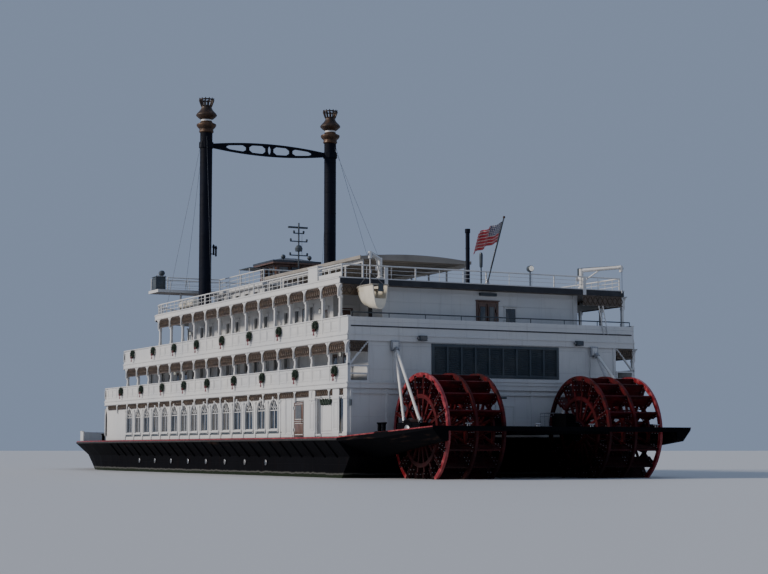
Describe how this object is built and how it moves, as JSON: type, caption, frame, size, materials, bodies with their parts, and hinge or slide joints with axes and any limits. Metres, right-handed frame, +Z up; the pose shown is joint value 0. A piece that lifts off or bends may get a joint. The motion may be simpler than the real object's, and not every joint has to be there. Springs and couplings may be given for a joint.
{
  "type": "1:10 scale model of a twin-sternwheel showboat",
  "caption": "Scale model of a paddle showboat with hollow deckhouses, galleries, tall stacks, turning stern paddle wheels, coupled rudders, doors and slewing davits.",
  "frame": {"origin": "middle of the overall box in plan, on the flat bottom of the hull", "axes": "+X to starboard, +Y towards the bow, +Z up"},
  "size_m": [2.38, 8.47, 3.47],
  "materials": {
    "white_paint": "satin",
    "hull_paint": "satin",
    "deck_coating": "matte",
    "wheel_red": "satin",
    "stack_black": "satin",
    "slate_paint": "satin",
    "brown_joinery": "satin",
    "boat_gelcoat": "gloss",
    "flag_cloth": "matte",
    "bare_steel": "satin"
  },
  "bodies": {
    "vessel": {"second_deck": "white_paint", "third_deck": "white_paint", "main_wall_port": "white_paint", "main_wall_starboard": "white_paint", "main_wall_aft": "white_paint", "second_wall_port": "white_paint", "second_wall_starboard": "white_paint", "second_wall_aft": "white_paint", "third_wall_port": "white_paint", "third_wall_starboard": "white_paint", "third_wall_aft": "white_paint", "second_gallery_port": "white_paint", "second_gallery_starboard": "white_paint", "third_gallery_port": "white_paint", "third_gallery_starboard": "white_paint", "third_gallery_aft": "white_paint", "struts_port": "white_paint", "struts_starboard": "white_paint", "texas_house": "white_paint", "bridge_deck": "white_paint", "roof_rail": "white_paint", "bridge_rail_aft": "white_paint", "bridge_rail_front": "white_paint", "pilothouse_roof": "white_paint", "canopy_roof": "white_paint", "canopy_screen_port": "white_paint", "canopy_screen_starboard": "white_paint", "ensign_staff": "white_paint", "foredeck_bulwark": "white_paint", "jackstaff": "white_paint", "hull": "hull_paint", "outrigger_port": "hull_paint", "outrigger_starboard": "hull_paint", "stern_platform": "hull_paint", "roof_deck": "deck_coating", "stack_port": "stack_black", "stack_starboard": "stack_black", "stack_spreader": "stack_black", "exhaust_pipe": "stack_black", "aft_louvre": "slate_paint", "wing_console_port": "slate_paint", "wing_console_starboard": "slate_paint", "pilothouse": "brown_joinery", "ensign_flag": "flag_cloth", "signal_mast": "bare_steel", "capstan": "bare_steel"},
    "wheel_port": {"wheel_port": "wheel_red"},
    "wheel_starboard": {"wheel_starboard": "wheel_red"},
    "rudder_port": {"rudder_port": "hull_paint"},
    "rudder_starboard": {"rudder_starboard": "hull_paint"},
    "boarding_door_port": {"boarding_door_port": "white_paint"},
    "boarding_door_starboard": {"boarding_door_starboard": "white_paint"},
    "aft_door_port": {"aft_door_port": "brown_joinery"},
    "aft_door_starboard": {"aft_door_starboard": "brown_joinery"},
    "davit_port": {"davit_port": "white_paint", "rescue_boat": "boat_gelcoat"},
    "davit_starboard": {"davit_starboard": "white_paint"}
  },
  "joints": [
    {"name": "wheel_port_spin", "type": "hinge", "parent": "vessel", "child": "wheel_port", "pos_m": [-0.595, -3.775, 0.515], "axis": [1, 0, 0], "continuous": true},
    {"name": "wheel_starboard_spin", "type": "hinge", "parent": "vessel", "child": "wheel_starboard", "pos_m": [0.595, -3.775, 0.515], "axis": [1, 0, 0], "continuous": true},
    {"name": "rudder_port_turn", "type": "hinge", "parent": "vessel", "child": "rudder_port", "pos_m": [-0.52, -3.225, 0.11], "axis": [0, 0, 1], "range_deg": [-35, 35]},
    {"name": "rudder_starboard_turn", "type": "hinge", "parent": "vessel", "child": "rudder_starboard", "pos_m": [0.52, -3.225, 0.11], "axis": [0, 0, 1], "range_deg": [-35, 35]},
    {"name": "boarding_door_port_hinge", "type": "hinge", "parent": "vessel", "child": "boarding_door_port", "pos_m": [-1.1145, -2.488, 0.61], "axis": [0, 0, -1], "range_deg": [0, 110]},
    {"name": "boarding_door_starboard_hinge", "type": "hinge", "parent": "vessel", "child": "boarding_door_starboard", "pos_m": [1.1145, -2.488, 0.61], "axis": [0, 0, 1], "range_deg": [0, 110]},
    {"name": "aft_door_port_hinge", "type": "hinge", "parent": "vessel", "child": "aft_door_port", "pos_m": [-0.032, -3.1795, 1.27], "axis": [0, 0, -1], "range_deg": [0, 100]},
    {"name": "aft_door_starboard_hinge", "type": "hinge", "parent": "vessel", "child": "aft_door_starboard", "pos_m": [0.112, -3.1795, 1.27], "axis": [0, 0, 1], "range_deg": [0, 100]},
    {"name": "davit_port_slew", "type": "hinge", "parent": "vessel", "child": "davit_port", "pos_m": [-0.8, -3.2, 1.61], "axis": [0, 0, 1], "range_deg": [0, 70]},
    {"name": "davit_starboard_slew", "type": "hinge", "parent": "vessel", "child": "davit_starboard", "pos_m": [0.8, -3.2, 1.61], "axis": [0, 0, -1], "range_deg": [0, 70]}
  ],
  "couplings": [
    {"joint": "rudder_starboard_turn", "follows": "rudder_port_turn", "ratio": 1}
  ]
}
